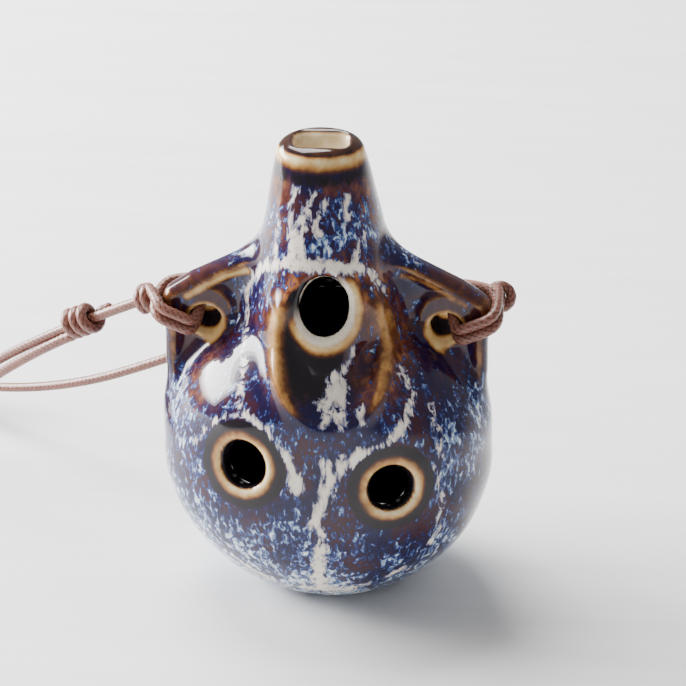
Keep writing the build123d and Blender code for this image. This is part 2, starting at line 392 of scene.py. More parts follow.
left_way = way_between(LEFT_ROUTE[0], LEFT_ROUTE[1])
left_knot_middle = Vector(LEFT_ROUTE[0]) + left_way * LEFT_KNOT_AT
right_way = way_between(RIGHT_ROUTE[-2], RIGHT_ROUTE[-1])
right_knot_middle = Vector(RIGHT_ROUTE[-1]) - right_way * RIGHT_KNOT_FROM_END
under_right_knot = Vector((0, 0, -1)) + right_way * right_way.z
under_right_knot = under_right_knot.normalized() * RETURN_OFFSET.length


def knot_end(middle, way, offset, further=0.0):
    """Where a cord goes into the knot that it is tied with."""
    return middle + way * (KNOT_LENGTH / 2 + KNOT_GAP + further) + offset


def make_cords():
    """Both cords. Each is in two pieces that meet under the coil's tie, for a knot slides with the second."""
    last_turn = tau * (len(COIL_TURNS) - 1)
    tie_last = TIE_AT + last_turn
    out = COIL_OUT + last_turn
    left_route = LEFT_ROUTE + coil_points(TIE_AT, out, -1)[::-1]
    left_end_route = coil_points(COIL_IN, TIE_AT, -1)[::-1] + [
        knot_end(right_knot_middle, right_way, under_right_knot, STRAIGHT_IN),
        knot_end(right_knot_middle, right_way, under_right_knot),
    ]
    right_route = RIGHT_ROUTE[:-1] + coil_points(COIL_IN, tie_last, 1)
    return_route = coil_points(tie_last, out, 1) + RETURN_ROUTE[::-1]
    return_route.append(knot_end(left_knot_middle, left_way, RETURN_OFFSET))
    routes = {
        "left_cord_strand": left_route,
        "left_cord_end": left_end_route,
        "right_cord_strand": right_route,
        "right_cord_return_strand": return_route,
    }
    made = {}
    for name, route in routes.items():
        line = centreline(route)
        piece = braided_tube(name, line)
        made[name] = (piece, line)
    left, left_end, right, right_return = (piece for piece, _ in made.values())
    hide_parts("left_cord")
    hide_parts("right_cord", "cord_coil")
    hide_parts("right_cord_return")
    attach(left, "ocarina")
    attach(right, "ocarina")
    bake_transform(right_return)
    coil_point(COIL_IN, -1)
    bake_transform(left_end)
    return made


# ---- Knots and hitches ----
WRAP_STRAND = 0.76 * MM  # radius of the strand in a knot, pressed a little wider than the cord
WRAP_TURNS = 3.3
HELIX_POINTS = 14  # control points for each turn
KNOT_TAIL = [(1.9, 0.42), (1.0, 0.22)]  # mm back along the cord, and share of the radius outwards
KNOT_OVERLAP = 0.9 * MM  # of a knot's strand with the cord that it is tied with
END_MARGIN = 0.05 * MM


def helix(middle, way, offset, first, last, turns):
    """Points that wind round the axis through middle along way, and end beside offset."""
    across = way.cross(offset)
    count = round(turns * HELIX_POINTS)
    points = []
    for index in range(count + 1):
        angle = -tau * turns * (1 - index / count)
        place = first + (last - first) * index / count
        points.append(middle + way * place + offset * cos(angle) + across * sin(angle))
    return points


BLUNT_START = 0.45  # share of the radius at a cut end
BLUNT_LENGTH = 0.012  # share of the strand over which it grows to the full radius


def blunt(share):
    """Rounds the cut end of a strand at its start."""
    grown = np.sqrt(np.clip(share / BLUNT_LENGTH, 0, 1))
    return np.minimum(1.0, BLUNT_START + grown * (1 - BLUNT_START))


def make_slide_knot(name, node, body, middle, way, offset):
    """Wraps of one cord round the other, with the cut tail standing out at the far end."""
    reach = KNOT_LENGTH / 2 - WRAP_STRAND - END_MARGIN
    wraps = helix(middle, way, offset, -reach, reach, WRAP_TURNS)
    first = wraps[0] - middle + way * reach
    tail = [wraps[0] - way * back * MM + first * out for back, out in KNOT_TAIL]
    into = [knot_end(middle, way, offset), knot_end(middle, way, offset, KNOT_OVERLAP)]
    line = centreline(tail + wraps + into)
    knot = braided_tube(name, line, WRAP_STRAND, taper=blunt)
    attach(knot, body)
    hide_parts(node)
    return knot


# One turn round a lug: outwards from the hole's middle, back from it and up from it, in mm
HITCH_TURN = [
    (7.05, -1.5, -0.45),
    (5.9, -3.15, -0.95),
    (3.5, -3.3, -1.35),
    (1.4, -3.1, -1.9),
    (1.0, -1.3, -0.85),
]
HITCH_TURN += [(out, -back, -rise) for out, back, rise in reversed(HITCH_TURN)]
HITCH_TURNS = 2
HITCH_TILT = radians(12.0)
HITCH_FIRST = 1.15  # height of the first turn over the hole's middle, in mm
HITCH_PITCH = 1.5  # how far each turn is below the one before, in mm
HITCH_LEVEL = 7  # points of a turn before it sinks to the next
COLLAR_TURNS = 1.5
COLLAR_START = 0.7 * MM  # along the cord from where it leaves the hitch
COLLAR_END = -0.9 * MM


def make_hitch(name, node, side, route):
    """Two turns round a lug, and a half hitch of the tail round the cord that leaves."""
    exit_point = Vector(route[0])
    way = way_between(route[0], route[1])
    hole = Vector((side * HITCH_HOLE[0], LUG_MIDDLE_Y, HITCH_HOLE[1]))
    outwards = Vector((side * cos(HITCH_TILT), 0, sin(HITCH_TILT)))
    upwards = Vector((-side * sin(HITCH_TILT), 0, cos(HITCH_TILT)))
    turns = []
    for turn in range(HITCH_TURNS):
        for index, (out, back, rise) in enumerate(HITCH_TURN):
            sinking = max(0, index - HITCH_LEVEL) / (len(HITCH_TURN) - HITCH_LEVEL)
            sunk = HITCH_PITCH * (turn + sinking)
            height = HITCH_FIRST - sunk + rise
            turns.append(hole + (outwards * out + Vector((0, back, 0)) + upwards * height) * MM)
    offset = upwards - way * upwards.dot(way)
    offset = offset.normalized() * CORD
    collar = helix(exit_point, way, offset, COLLAR_START, COLLAR_END, COLLAR_TURNS)
    hitch = braided_tube(name, centreline(collar + turns + [exit_point]), taper=blunt)
    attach(hitch, "ocarina")
    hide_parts(node)


def material_thread():
    make = Shader("cotton_thread")
    fibres = make.noise(make.place(), 5200.0, 3.0, 0.6)
    colour = make.ramp(fibres, [(0.3, (0.09, 0.04, 0.028)), (0.7, (0.28, 0.15, 0.11))])
    return make.finish(
        Base_Color=colour,
        Roughness=0.75,
        Sheen_Weight=0.2,
        Normal=make.bump(fibres, 0.4, 0.00004),
    )


THREAD = 0.3 * MM  # radius
THREAD_RELIEF = 0.03 * MM
THREAD_STEP = 0.08 * MM
TIE_WRAPS = 4
TIE_KNOT_RADIUS = 0.5 * MM
TIE_KNOT_POINTS = 12  # for each turn
TIE_KNOT_TURNS = 1.5
TIE_KNOT_RISE = 0.11 * MM  # sideways from each point of the knot to the next


def make_tie():
    """Thread wound round the coil's bundle, ending in a small overhand knot on top."""
    inner, outer, low, high = 4.93, 12.27, 0.30, 3.97  # of the thread's middle, in mm
    corner = 0.9
    outline = [
        (inner + corner, high),
        (outer - corner, high),
        (outer, high - corner),
        (outer, low + corner),
        (outer - corner, low),
        (inner + corner, low),
        (inner, low + corner),
        (inner, high - corner),
    ]
    outwards = Vector((cos(TIE_AT), sin(TIE_AT), 0))
    beside = Vector((-sin(TIE_AT), cos(TIE_AT), 0))
    centre = Vector((*COIL_CENTRE, 0))
    points = []
    for index in range(TIE_WRAPS * len(outline) + 2):
        reach, height = outline[index % len(outline)]
        along = (index / len(outline) - TIE_WRAPS / 2) * 2 * THREAD
        points.append(centre + (outwards * reach + Vector((0, 0, height))) * MM + beside * along)
    knot_at = points[-1] + outwards * 1.0 * MM
    for index in range(round(TIE_KNOT_TURNS * TIE_KNOT_POINTS)):
        angle = tau * index / TIE_KNOT_POINTS
        round_it = outwards * cos(angle) + Vector((0, 0, 1)) * sin(angle)
        points.append(knot_at + round_it * TIE_KNOT_RADIUS - beside * (index * TIE_KNOT_RISE))
    points.append(points[-1] - beside * 1.2 * MM + outwards * 0.8 * MM)
    line = centreline(points)
    tie = braided_tube("coil_tie_thread", line, THREAD, relief=THREAD_RELIEF, step=THREAD_STEP)
    tie.data.materials[0] = material_thread()
    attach(tie, "ocarina")
    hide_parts("coil_tie")
    return tie


def make_all_cord():
    cords = make_cords()
    make_hitch("left_hitch_turns", "left_ear_hitch", -1, LEFT_ROUTE)
    make_hitch("right_hitch_turns", "right_ear_hitch", 1, RIGHT_ROUTE)
    left_line = (left_knot_middle, left_way, RETURN_OFFSET)
    right_line = (right_knot_middle, right_way, under_right_knot)
    left_knot = make_slide_knot("left_knot_wraps", "left_slide_knot", "left_knot", *left_line)
    right_knot = make_slide_knot("right_knot_wraps", "right_slide_knot", "right_knot", *right_line)
    make_tie()


make_all_cord()


# ---- Clay ----
# The clay is worked out in millimetres as a signed distance, negative inside, round the sizes of part.py.
HEIGHT = 65.0
BELLY_HALF_WIDTH = 22.8
BELLY_HALF_DEPTH = 19.4
BELLY_HALF_HEIGHT = 21.7
BELLY_CENTRE_Z = 19.0
FOOT_POWER = 1.85  # of the belly's outline below its centre, where an ellipse has 2
NECK_TOP = (5.35, 4.5)  # the neck's half width and half depth 1 mm over the mouth
NECK_GROWTH = (0.215, 0.335)  # how much they grow in each mm downwards
NECK_DEPTH_START = (16.5, 35.0)  # heights over which the neck's depth sets in
WALL = 3.4
CHAMBER_TOP = 47.0
THUMB_HOLES = [(-9.9, 25.4, 3.05), (10.1, 22.9, 2.9)]  # x, z and radius
FINGER_HOLES = [(-8.6, 31.5, 2.5), (8.4, 31.8, 2.7), (-9.8, 17.6, 3.0), (9.6, 17.2, 2.3)]
TONE_HOLE_DEPTH = 9.0
WINDOW_CENTRE = (0.5, -9.0, 45.2)
WINDOW_RADIUS = 3.25
WINDOW_TALLER = 1.22
WINDOW_TILT = radians(28.0)
LUG_CORNERS = [(5.0, 50.4), (8.6, 49.4), (10.7, 48.6), (18.5, 45.8), (22.3, 42.8)]
LUG_CORNERS += [(22.0, 36.0), (21.2, 30.5), (19.8, 25.0), (6.0, 25.0)]
# Height, middle y, half width and half thickness of the windway
WINDWAY = [(46.0, -8.7, 3.4, 0.8), (56.0, -4.2, 3.6, 0.9), (62.0, -1.3, 3.4, 1.4), (65.4, -0.1, 3.5, 2.4)]
WINDWAY_RIGHT = 0.15  # how far the windway is from the neck's middle


def lean(z):
    """How far the middle of the pear is to the right. It goes left with height, and more so in the neck."""
    return 0.45 - 0.012 * z - 0.02 * np.maximum(z - 45.0, 0.0)


def pear_table():
    """Half width, half depth and slope of the pear at many heights."""
    z = np.linspace(-2.2, 70.0, 1445)
    power = np.where(z < BELLY_CENTRE_Z, FOOT_POWER, 2.0)
    rise = np.abs(z - BELLY_CENTRE_Z) / BELLY_HALF_HEIGHT
    share = np.maximum(0.0, 1 - rise**power) ** (1 / power)
    below = HEIGHT + 1 - z
    neck_width = (NECK_TOP[0] + NECK_GROWTH[0] * below) * np.clip((z - BELLY_CENTRE_Z) / 6.0, 0.0, 1.0)
    neck_depth = (NECK_TOP[1] + NECK_GROWTH[1] * below) * grow(z, *NECK_DEPTH_START)
    width = ((BELLY_HALF_WIDTH * share) ** 4 + neck_width**4) ** 0.25
    depth = ((BELLY_HALF_DEPTH * share) ** 4 + neck_depth**4) ** 0.25
    # Where the neck's cone sets in, the outline is smoothed over 7 mm
    weights = np.hanning(141)
    weights /= weights.sum()
    blended = grow(z, 10.0, 15.0) * fade(z, 33.0, 38.0)
    width += blended * (np.convolve(width, weights, "same") - width)
    depth += blended * (np.convolve(depth, weights, "same") - depth)
    return z, width, depth, np.gradient((width + depth) / 2, z)


PEAR_Z, PEAR_WIDTH, PEAR_DEPTH, PEAR_SLOPE = pear_table()


def ellipse_distance(u, w, half_u, half_w):
    share = np.sqrt((u / half_u) ** 2 + (w / half_w) ** 2)
    return share * (share - 1) / np.sqrt((u / half_u**2) ** 2 + (w / half_w**2) ** 2)


def pear(x, y, z):
    from_middle = x - lean(z) + 1e-4
    width = np.interp(z, PEAR_Z, PEAR_WIDTH)
    depth = np.interp(z, PEAR_Z, PEAR_DEPTH)
    slope = np.interp(z, PEAR_Z, PEAR_SLOPE)
    return ellipse_distance(from_middle, y, width, depth) / np.sqrt(1 + slope**2)


def join(first, second, radius):
    """Both shapes, with a fillet where they meet."""
    fillet = np.hypot(np.maximum(radius - first, 0), np.maximum(radius - second, 0))
    return np.maximum(radius, np.minimum(first, second)) - fillet


def keep_in(first, second, radius):
    """What both shapes share, with a rounded edge."""
    edge = np.hypot(np.maximum(radius + first, 0), np.maximum(radius + second, 0))
    return np.minimum(-radius, np.maximum(first, second)) + edge


def cut(first, second, radius):
    return keep_in(first, -second, radius)


def line_distance(u, w, corners):
    nearest = np.full(np.broadcast(u, w).shape, 1e9)
    for (au, aw), (bu, bw) in zip(corners, corners[1:]):
        eu, ew = bu - au, bw - aw
        along = np.clip(((u - au) * eu + (w - aw) * ew) / (eu * eu + ew * ew), 0, 1)
        nearest = np.minimum(nearest, (u - au - along * eu) ** 2 + (w - aw - along * ew) ** 2)
    return np.sqrt(nearest)


def polygon_distance(u, w, corners):
    closed = corners + corners[:1]
    sign = np.ones(np.broadcast(u, w).shape)
    for (au, aw), (bu, bw) in zip(closed, closed[1:]):
        left = (bu - au) * (w - aw) > (bw - aw) * (u - au)
        up = (w >= aw) & (w < bw) & left
        down = (w < aw) & (w >= bw) & ~left
        sign = np.where(up | down, -sign, sign)
    return sign * line_distance(u, w, closed)


LUG_CORNER = 2.4
LUG_FILLET = 2.8  # where a lug meets the pear
LUG_EDGE = 1.7
LUG_DISH = 0.8  # how far each face of a lug is pressed in
LUG_RIM = (1.0, 3.0)  # from a lug's outline inwards, over which the dish sets in
LUG_BOSS = (3.2, 4.6)  # the same from the middle of its hole outwards
LUG_HOLE_AT = (16.2, 40.8)
LUG_HOLE_RADIUS = 2.1
LUG_HOLE_SLANT = 0.75  # the hole rises backwards


def inset_corners(corners, inset):
    """The corners moved inwards, so that an outline rounded by inset passes close to them."""
    middle_u = sum(u for u, _ in corners) / len(corners)
    middle_w = sum(w for _, w in corners) / len(corners)
    moved = []
    for u, w in corners:
        pull = 1.15 * inset / np.hypot(u - middle_u, w - middle_w)
        moved.append((u - pull * (u - middle_u), w - pull * (w - middle_w)))
    return moved


LUG_CORE = inset_corners(LUG_CORNERS, LUG_CORNER)


def lug(x, y, z, side):
    face = polygon_distance(side * x, z, LUG_CORE) - LUG_CORNER
    from_hole = np.hypot(side * x - LUG_HOLE_AT[0], z - LUG_HOLE_AT[1])
    dish = LUG_DISH * grow(-face, *LUG_RIM) * grow(from_hole, *LUG_BOSS)
    across = np.abs(y - LUG_MIDDLE_Y / MM) - (LUG_THICKNESS / MM / 2 - dish)
    return keep_in(face, across, LUG_EDGE)


def lug_hole(x, y, z, side):
    back = y - LUG_MIDDLE_Y / MM
    above = z - LUG_HOLE_AT[1] - LUG_HOLE_SLANT * back
    away = np.hypot(side * x - LUG_HOLE_AT[0], above) - LUG_HOLE_RADIUS
    return np.maximum(away, np.abs(back) - LUG_THICKNESS / MM / 2 - 1.0)


# The horseshoe ridge round the window and the ramp pressed in below it
RAMP_MIDDLE = (1.5, 40.4)
RAMP_SHEAR = 0.09
RAMP_HALF_WIDTH = 7.3
RAMP_HALF_HEIGHT = 9.8
RAMP_DEPTH = 2.3
RAMP_SIDE = 4.4  # how far inside its edge the ramp reaches its depth
RAMP_START = (30.5, 37.5)  # heights over which the ramp sets in
RAMP_BY_WINDOW = 0.25  # share of its depth that the ramp has at the window
RIDGE_HEIGHT = 0.8
RIDGE_WIDTH = 1.35
RIDGE_START = (31.5, 37.0)
RIDGE_END = (45.0, 48.5)


def ramp_edge(x, z):
    rise = z - RAMP_MIDDLE[1]
    from_middle = x - RAMP_MIDDLE[0] + RAMP_SHEAR * rise + 1e-4
    return ellipse_distance(from_middle, rise, RAMP_HALF_WIDTH, RAMP_HALF_HEIGHT)


def front_share(y):
    """1 on the thumb side and 0 from the middle backwards."""
    return grow(-y, 2.0, 5.0)


def thumb_side_relief(x, y, z):
    """How far the thumb side's face moves outwards. Negative values press it in."""
    edge = ramp_edge(x, z)
    from_window = np.hypot(x - WINDOW_CENTRE[0], (z - WINDOW_CENTRE[2] + 1.0) / WINDOW_TALLER)
    pressed = grow(-edge, 0.0, RAMP_SIDE) * grow(z, *RAMP_START)
    pressed = pressed * (RAMP_BY_WINDOW + (1 - RAMP_BY_WINDOW) * grow(from_window, 3.8, 8.6))
    raised = bell(edge, RIDGE_WIDTH) * grow(z, *RIDGE_START)
    raised = raised * (1 - 0.9 * grow(z, *RIDGE_END))
    return front_share(y) * (RIDGE_HEIGHT * raised - RAMP_DEPTH * pressed)


def pear_at(x, z, side):
    """The pear's y, half width and half depth at x and z. side is -1 at the thumbs and 1 at the fingers."""
    width = np.interp(z, PEAR_Z, PEAR_WIDTH)
    depth = np.interp(z, PEAR_Z, PEAR_DEPTH)
    share = np.minimum(np.abs(x - lean(z)) / width, 1.0)
    return side * depth * np.sqrt(1 - share**2), width, depth


def outward_axis(x, z, side):
    """The belly's surface point at x and z, and its outward direction."""
    y, width, depth = pear_at(x, z, side)
    rise = (z - BELLY_CENTRE_Z) / BELLY_HALF_HEIGHT**2
    return np.array((x, y, z)), unit(np.array(((x - lean(z)) / width**2, y / depth**2, rise)))


def round_hole(x, y, z, start, axis, radius, depth):
    """A drilled hole that stops at a depth inside, and how far each point is along its axis."""
    along = (x - start[0]) * axis[0] + (y - start[1]) * axis[1] + (z - start[2]) * axis[2]
    squared = (x - start[0]) ** 2 + (y - start[1]) ** 2 + (z - start[2]) ** 2
    away = np.sqrt(np.maximum(squared - along**2, 0.0))
    return np.maximum(away - radius, -(along + depth)), away, along


TONE_HOLES = [(*outward_axis(x, z, -1), radius) for x, z, radius in THUMB_HOLES]
TONE_HOLES += [(*outward_axis(x, z, 1), radius) for x, z, radius in FINGER_HOLES]
WINDOW_AXIS = np.array((0.0, -cos(WINDOW_TILT), sin(WINDOW_TILT)))
WINDOW_UP = np.array((0.0, sin(WINDOW_TILT), cos(WINDOW_TILT)))
WINDOW_BEVEL = 0.62  # how deep the bevel round the window starts
BEVEL_SLOPE = 0.9  # how much wider the window gets in each mm outwards
BEVEL_DOWN = 0.62  # how far it moves down in each mm
BEVEL_RIGHT = 0.22


def window_place(x, y, z):
    """Sideways, upwards and outwards from the middle of the window, along its own axes."""
    dx, dy, dz = x - WINDOW_CENTRE[0], y - WINDOW_CENTRE[1], z - WINDOW_CENTRE[2]
    up = dy * WINDOW_UP[1] + dz * WINDOW_UP[2]
    return dx, up, dy * WINDOW_AXIS[1] + dz * WINDOW_AXIS[2]


def window(x, y, z, depth):
    """The voicing window: an oval hole, bevelled most at its lower lip. depth is that below the skin."""
    beside, up, along = window_place(x, y, z)
    flare = np.clip(WINDOW_BEVEL - depth, 0.0, 2.0)
    away = np.hypot(beside - BEVEL_RIGHT * flare, (up + BEVEL_DOWN * flare) / WINDOW_TALLER)
    return np.maximum((away - WINDOW_RADIUS - BEVEL_SLOPE * flare) * 0.8, -(along + 5.0))


def windway(x, y, z):
    heights = [row[0] for row in WINDWAY]
    middle, half_width, half_thickness = (
        np.interp(z, heights, [row[column] for row in WINDWAY]) for column in (1, 2, 3)
    )
    corner = 0.6 * half_thickness
    over_x = np.abs(x - lean(z) - WINDWAY_RIGHT) - half_width + corner
    over_y = np.abs(y - middle) - half_thickness + corner
    beyond = np.hypot(np.maximum(over_x, 0), np.maximum(over_y, 0))
    return np.maximum(beyond + np.minimum(np.maximum(over_x, over_y), 0) - corner, heights[0] - z)


def chamber(x, y, z):
    return keep_in(keep_in(pear(x, y, z) + WALL, WALL - z, 1.5), z - CHAMBER_TOP, 3.0)


def hand_made(x, y, z):
    """Slow unevenness of a hand-formed wall."""
    slow = np.sin(0.23 * x + 1.1) * np.sin(0.19 * z + 0.4) * np.cos(0.21 * y)
    quick = np.sin(0.61 * x - 0.37 * z) * np.sin(0.53 * z + 0.41 * y + 2.0)
    return 0.16 * slow + 0.05 * quick


def outside(x, y, z):
    """The pear with its relief and lugs, before anything is cut."""
    skin = pear(x, y, z) - thumb_side_relief(x, y, z) + hand_made(x, y, z)
    for side in (-1, 1):
        skin = join(skin, lug(x, y, z, side), LUG_FILLET)
    return skin


# Radii of the rounded edges
FOOT_EDGE = 2.2
MOUTH_EDGE = 1.6
WINDWAY_EDGE = 0.7
CHAMBER_EDGE = 0.3
WINDOW_EDGE = 0.35
TONE_HOLE_EDGE = 1.35
LUG_HOLE_EDGE = 0.75


def mouth_cut(x, y, z):
    """How far a point is over the mouth's plane, which rises a little to the right and to the back."""
    return z - HEIGHT - 0.2 - 0.015 * x - 0.05 * y


def clay(x, y, z):
    whole = outside(x, y, z)
    skin = keep_in(whole, -z, FOOT_EDGE)
    skin = keep_in(skin, mouth_cut(x, y, z), MOUTH_EDGE)
    skin = cut(skin, windway(x, y, z), WINDWAY_EDGE)
    skin = cut(skin, chamber(x, y, z), CHAMBER_EDGE)
    skin = cut(skin, window(x, y, z, -whole), WINDOW_EDGE)
    for start, axis, radius in TONE_HOLES:
        hole = round_hole(x, y, z, start, axis, radius, TONE_HOLE_DEPTH)[0]
        skin = cut(skin, hole, TONE_HOLE_EDGE)
    for side in (-1, 1):
        skin = cut(skin, lug_hole(x, y, z, side), LUG_HOLE_EDGE)
    return skin


def slope_of(field, points, step=0.03):
    """The field's gradient at each point."""
    slopes = []
    for axis in range(3):
        shift = np.zeros(3)
        shift[axis] = step
        ahead = field(*(points + shift).T)
        behind = field(*(points - shift).T)
        slopes.append((ahead - behind) / (2 * step))
    return np.stack(slopes, 1)


VOXEL = 0.34  # spacing of the clay's grid
GRID_LOW = np.array((-24.4, -21.6, -1.2))
GRID_HIGH = np.array((24.4, 21.6, 67.4))
SETTLING_STEPS = 4  # moves of each vertex towards the exact surface
LONGEST_STEP = 0.2


def clay_surface():
    """Vertices in mm, quads, and the outward direction at each vertex."""
    x, y, z = (np.arange(GRID_LOW[axis], GRID_HIGH[axis], VOXEL) for axis in range(3))
    field = clay(x[:, None, None], y[None, :, None], z[None, None, :])
    reach = 3 * VOXEL
    grid = openvdb.FloatGrid(reach)
    grid.copyFromArray(np.clip(field, -reach, reach).astype(np.float32))
    points, _, quads = grid.convertToPolygons(isovalue=0.0, adaptivity=0.0)
    points = points.astype(float) * VOXEL + GRID_LOW
    for _ in range(SETTLING_STEPS):
        slope = slope_of(clay, points)
        steepness = np.maximum((slope**2).sum(1), 0.05)
        step = -slope * (clay(*points.T) / steepness)[:, None]
        length = np.linalg.norm(step, axis=1, keepdims=True)
        points += step * np.minimum(1.0, LONGEST_STEP / np.maximum(length, 1e-9))
    return points, quads, unit(slope_of(clay, points))


# ---- Glaze ----
# Runs of pale glaze, each a line of (x, z, half width) in mm on the thumb side
THUMB_SIDE_RUNS = [
    # Strands down the neck
    [(-3.5, 60.3, 0.25), (-4.0, 58.0, 0.4), (-4.0, 55.5, 0.45), (-3.6, 52.0, 0.8)],
    [(-1.0, 59.8, 0.25), (-1.8, 57.6, 0.4), (-2.6, 55.0, 0.5), (-2.6, 52.0, 0.8)],
    [(0.1, 59.0, 0.35), (-0.5, 57.5, 0.4)],
    [(-2.0, 57.2, 0.3), (-0.9, 56.6, 0.35), (-0.1, 55.2, 0.4)],
    [(3.2, 59.4, 0.3), (3.1, 58.0, 0.35), (3.3, 56.6, 0.4)],
    [(-5.6, 56.0, 0.2), (-6.2, 53.0, 0.3), (-6.0, 51.0, 0.4)],
    [(5.4, 54.2, 0.25), (4.6, 52.2, 0.45), (4.2, 51.2, 0.5)],
    # The band over the window and its ends
    [(-9.2, 46.6, 0.5), (-7.6, 49.4, 0.7), (-5.0, 50.8, 0.7), (-2.4, 51.3, 0.9), (0.8, 51.3, 0.8)],
    [(0.8, 51.3, 0.8), (3.2, 50.9, 0.75), (5.0, 50.6, 0.7), (6.2, 49.2, 0.55), (7.8, 46.8, 0.35)],
    [(-9.2, 46.6, 0.5), (-10.0, 43.5, 0.5), (-10.2, 40.0, 0.4), (-10.2, 36.5, 0.35), (-10.4, 33.2, 0.4)],
    # In the ramp
    [(4.7, 40.0, 0.25), (3.6, 38.0, 0.55), (2.4, 36.2, 0.8), (1.4, 34.6, 0.9), (1.1, 32.2, 0.45)],
    [(2.6, 36.6, 0.9), (2.6, 35.2, 1.3), (3.4, 34.4, 0.7), (3.3, 32.0, 0.4)],
    [(5.9, 34.2, 0.3), (6.0, 32.2, 0.35)],
    # Right of the ramp
    [(10.5, 37.4, 0.25), (12.3, 34.4, 0.35), (11.7, 31.9, 0.5), (10.4, 29.9, 0.6), (8.9, 28.8, 0.6)],
    [(14.6, 32.4, 0.2), (15.6, 29.2, 0.3), (16.3, 25.9, 0.3)],
    # Over the left hole
    [(-16.6, 25.7, 0.25), (-15.2, 28.3, 0.35), (-13.2, 30.3, 0.4), (-10.8, 31.5, 0.5), (-8.9, 31.8, 0.7)],
    [(-8.9, 31.8, 0.7), (-6.9, 30.6, 0.75), (-5.0, 28.6, 0.8), (-3.1, 26.0, 0.9), (-2.3, 23.4, 0.9)],
    # Down the middle
    [(1.3, 27.2, 0.5), (2.2, 25.0, 0.8), (1.2, 21.5, 0.75), (0.2, 18.4, 0.7)],
    [(0.2, 18.4, 0.7), (1.1, 14.9, 0.55), (0.1, 10.0, 0.8), (0.4, 5.5, 1.2)],
    # Over the right hole
    [(2.2, 24.8, 0.9), (2.9, 26.0, 1.0), (4.4, 27.4, 1.0), (6.6, 28.1, 0.95), (9.0, 28.4, 0.8)],
    [(9.0, 28.4, 0.8), (11.9, 27.6, 0.55), (14.0, 26.2, 0.4), (15.4, 24.2, 0.3), (16.4, 20.5, 0.25)],
    [(16.4, 20.5, 0.25), (16.5, 17.1, 0.25), (15.6, 13.4, 0.3), (15.0, 12.6, 0.5)],
    # Gathered above the foot
    [(-12.0, 8.6, 0.5), (-9.0, 6.4, 0.7), (-6.5, 5.2, 0.6)],
    [(-2.6, 5.0, 0.7), (0.4, 4.4, 1.1), (3.6, 4.8, 0.8), (6.5, 6.0, 0.5)],
    [(9.0, 6.4, 0.4), (11.6, 8.4, 0.5)],
]
# The same on the finger side
FINGER_SIDE_RUNS = [
    # Strands down the neck and the band below them
    [(2.0, 59.2, 0.3), (2.7, 56.0, 0.45), (2.2, 53.2, 0.5), (3.4, 50.6, 0.7)],
    [(-2.6, 57.8, 0.25), (-3.6, 55.2, 0.4), (-3.3, 53.6, 0.3)],
    [(-8.4, 46.2, 0.4), (-6.6, 48.6, 0.6), (-3.6, 49.4, 0.7), (-1.4, 48.8, 0.5), (0.8, 49.6, 0.7)],
    [(0.8, 49.6, 0.7), (3.4, 50.6, 0.9), (5.6, 49.4, 0.6), (7.4, 46.4, 0.35), (7.0, 44.2, 0.3)],
    [(-4.4, 49.2, 0.6), (-4.9, 46.4, 0.5), (-4.0, 43.4, 0.35)],
    [(1.4, 49.4, 0.6), (2.2, 45.8, 0.5), (1.0, 42.2, 0.7), (1.4, 39.6, 0.45)],
    # Round the upper holes
    [(-13.4, 33.4, 0.25), (-11.6, 35.4, 0.4), (-8.4, 36.6, 0.6), (-5.4, 35.4, 0.8), (-4.0, 32.4, 0.7)],
    [(-4.0, 32.4, 0.7), (-3.9, 29.2, 0.9), (-4.6, 27.2, 0.6)],
    [(5.6, 37.0, 0.3), (8.6, 37.2, 0.5), (11.8, 35.4, 0.6), (13.5, 31.6, 0.5), (13.2, 27.6, 0.4)],
    [(1.6, 33.6, 0.3), (2.6, 30.4, 0.5), (1.8, 28.4, 0.4)],
    # Down the belly
    [(3.6, 26.2, 0.4), (1.2, 24.6, 0.7), (-0.9, 21.4, 0.8), (-0.4, 17.6, 0.5)],
    [(1.9, 15.4, 0.3), (0.7, 12.2, 0.7), (1.3, 8.6, 0.8), (0.1, 5.2, 1.1)],
    [(-15.9, 21.8, 0.3), (-13.2, 23.4, 0.5), (-9.8, 23.9, 0.6), (-7.2, 22.9, 0.45)],
    [(13.4, 21.4, 0.35), (14.8, 18.4, 0.45), (14.4, 14.6, 0.6), (13.2, 12.4, 0.45)],
    # Gathered above the foot
    [(-9.6, 7.0, 0.4), (-6.4, 5.4, 0.7), (-3.4, 4.8, 0.6)],
    [(3.8, 4.9, 0.7), (7.0, 6.2, 0.5)],
]


RUST = [(0.3, (0.024, 0.006, 0.006)), (0.5, (0.13, 0.032, 0.01)), (0.7, (0.4, 0.15, 0.045))]
BLUE = [
    (0.2, (0.004, 0.004, 0.022)),
    (0.4, (0.008, 0.013, 0.085)),
    (0.54, (0.03, 0.052, 0.195)),
    (0.66, (0.165, 0.25, 0.43)),
    (0.8, (0.5, 0.59, 0.67)),
    (0.98, (0.8, 0.8, 0.77)),
]
CREAM = [
    (0.42, (0.02, 0.02, 0.09)),
    (0.51, (0.11, 0.13, 0.27)),
    (0.6, (0.4, 0.37, 0.38)),
    (0.7, (0.74, 0.65, 0.55)),
    (1.0, (0.85, 0.79, 0.72)),
]
HONEY = [
    (0.08, (0.018, 0.007, 0.006)),
    (0.32, (0.12, 0.04, 0.013)),
    (0.56, (0.42, 0.21, 0.06)),
    (0.8, (0.66, 0.47, 0.21)),
    (1.0, (0.81, 0.71, 0.52)),
]


